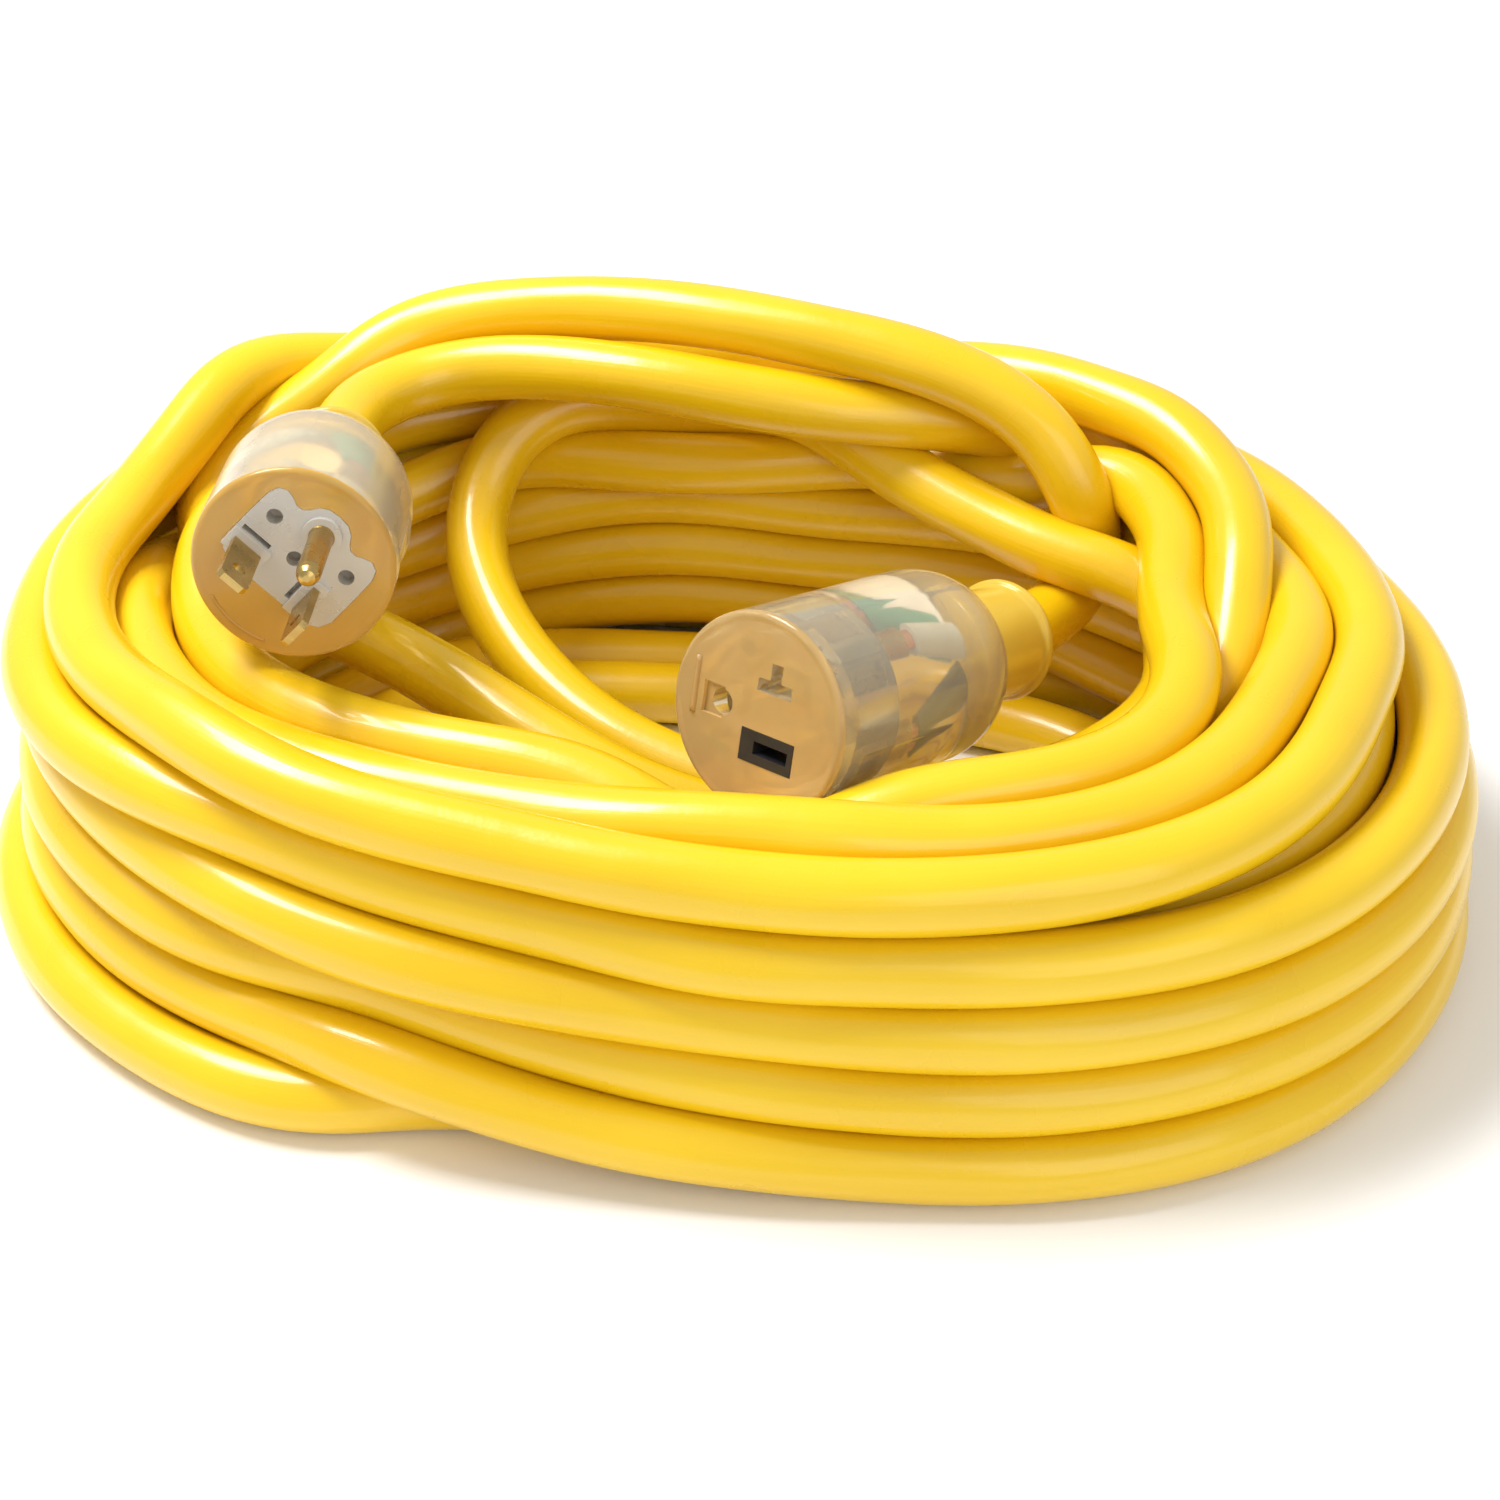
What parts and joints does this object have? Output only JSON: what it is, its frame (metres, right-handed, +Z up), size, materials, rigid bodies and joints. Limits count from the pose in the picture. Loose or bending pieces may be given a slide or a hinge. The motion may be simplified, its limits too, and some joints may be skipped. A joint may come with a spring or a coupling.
{
  "type": "heavy-duty power extension cord",
  "caption": "Coiled heavy yellow power cord with a moulded clear plug at one end and a matching lighted connector at the other.",
  "frame": {"origin": "under the middle of the coil, on the surface it lies on", "axes": "+X along the coil's long way, +Z up"},
  "size_m": [0.3204, 0.2246, 0.1124],
  "materials": {
    "jacket": "smooth yellow vinyl, soft gloss",
    "clear_moulding": "clear flexible vinyl, slightly amber",
    "amber_moulding": "translucent amber vinyl",
    "white_bridge": "moulded white nylon",
    "carrier": "natural nylon",
    "black_liner": "black nylon",
    "brass": "stamped brass",
    "copper": "bare stranded copper",
    "white_insulation": "vinyl",
    "black_insulation": "vinyl",
    "green_insulation": "vinyl",
    "lamp_glass": "neon lamp",
    "resistor": "coated",
    "lead_wire": "tinned wire"
  },
  "bodies": {
    "coil": {"cord_coil": "jacket", "plug_tail": "jacket", "connector_tail": "jacket"},
    "plug": {"plug_body": "clear_moulding", "plug_bridge": "white_bridge", "plug_strain_relief": "amber_moulding", "plug_jacket_end": "jacket", "blade_neutral": "brass", "blade_hot": "brass", "ground_pin": "brass", "plug_insulation_neutral": "white_insulation", "plug_insulation_hot": "black_insulation", "plug_insulation_ground": "green_insulation", "plug_copper_neutral": "copper", "plug_copper_hot": "copper", "plug_copper_ground": "copper"},
    "connector": {"connector_body": "clear_moulding", "contact_carrier": "carrier", "hot_slot_liner": "black_liner", "connector_strain_relief": "amber_moulding", "connector_jacket_end": "jacket", "contact_neutral": "brass", "contact_hot": "brass", "contact_ground": "brass", "connector_insulation_neutral": "white_insulation", "connector_insulation_hot": "black_insulation", "connector_insulation_ground": "green_insulation", "connector_copper_neutral": "copper", "connector_copper_hot": "copper", "connector_copper_ground": "copper", "indicator_lamp": "lamp_glass", "lamp_resistor": "resistor", "lamp_leads": "lead_wire"}
  },
  "joints": [
    {"name": "plug_flex", "type": "hinge", "parent": "coil", "child": "plug", "pos_m": [-0.08757, 0.0115, 0.09211], "axis": [-0.9816, -0.1908, 0], "range_deg": [0, 30]},
    {"name": "connector_flex", "type": "hinge", "parent": "coil", "child": "connector", "pos_m": [0.05809, 0.02093, 0.05696], "axis": [-0.8746, 0.4848, 0], "range_deg": [0, 30]}
  ]
}
